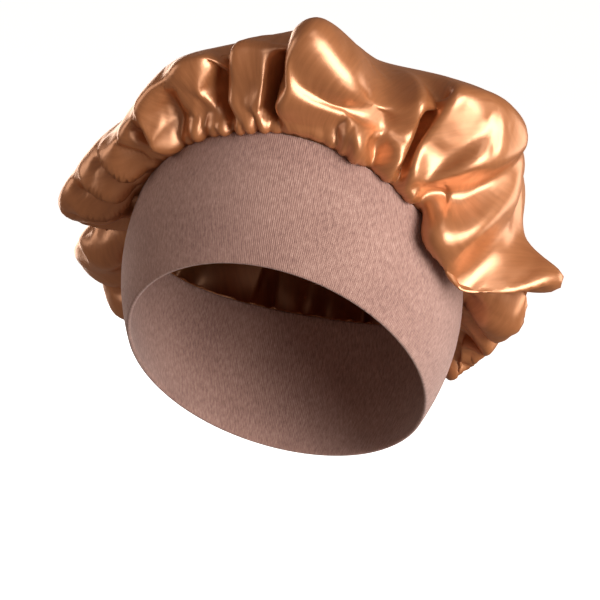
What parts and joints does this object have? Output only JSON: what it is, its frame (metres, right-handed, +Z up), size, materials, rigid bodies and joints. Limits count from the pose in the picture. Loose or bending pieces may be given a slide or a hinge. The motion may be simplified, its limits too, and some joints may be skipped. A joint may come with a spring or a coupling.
{
  "type": "sleep bonnet",
  "caption": "Satin sleep bonnet with a puffed, gathered crown and a wide knitted headband, in the form it has on a head.",
  "frame": {"origin": "middle of the band's lower rim, where the bonnet sits on a head", "axes": "+Z up as worn, -Y towards the forehead, +X towards the wearer's left"},
  "size_m": [0.274, 0.2269, 0.2475],
  "materials": {
    "band_knit": "matte",
    "crown_satin": "satin"
  },
  "bodies": {
    "root": {"band": "band_knit", "crown": "crown_satin"}
  },
  "joints": []
}
